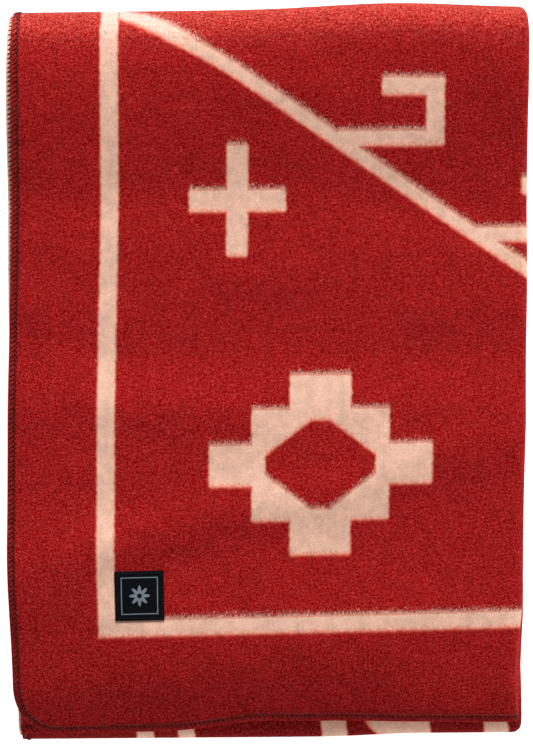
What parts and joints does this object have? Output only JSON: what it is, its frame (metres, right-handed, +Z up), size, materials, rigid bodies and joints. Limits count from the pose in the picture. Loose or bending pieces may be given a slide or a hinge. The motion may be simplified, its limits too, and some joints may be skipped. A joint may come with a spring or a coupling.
{
  "type": "folded wool blanket",
  "caption": "Napped wool blanket folded to quarters both ways, with rounded corners, an overlocked edge and a small woven label.",
  "frame": {"origin": "on the surface that the blanket lies on, under the middle of the folded stack", "axes": "+Z up, +Y towards the big end fold, -Y towards the open end, -X towards the two overlocked side edges, +X towards the side folds"},
  "size_m": [0.4123, 0.5902, 0.0589],
  "materials": {
    "wool": "brushed wool nap, red face with a cream pattern, cream reverse with a red pattern",
    "label_weave": "fine woven label, near black"
  },
  "bodies": {
    "root": {"blanket": "wool", "label": "label_weave"}
  },
  "joints": []
}
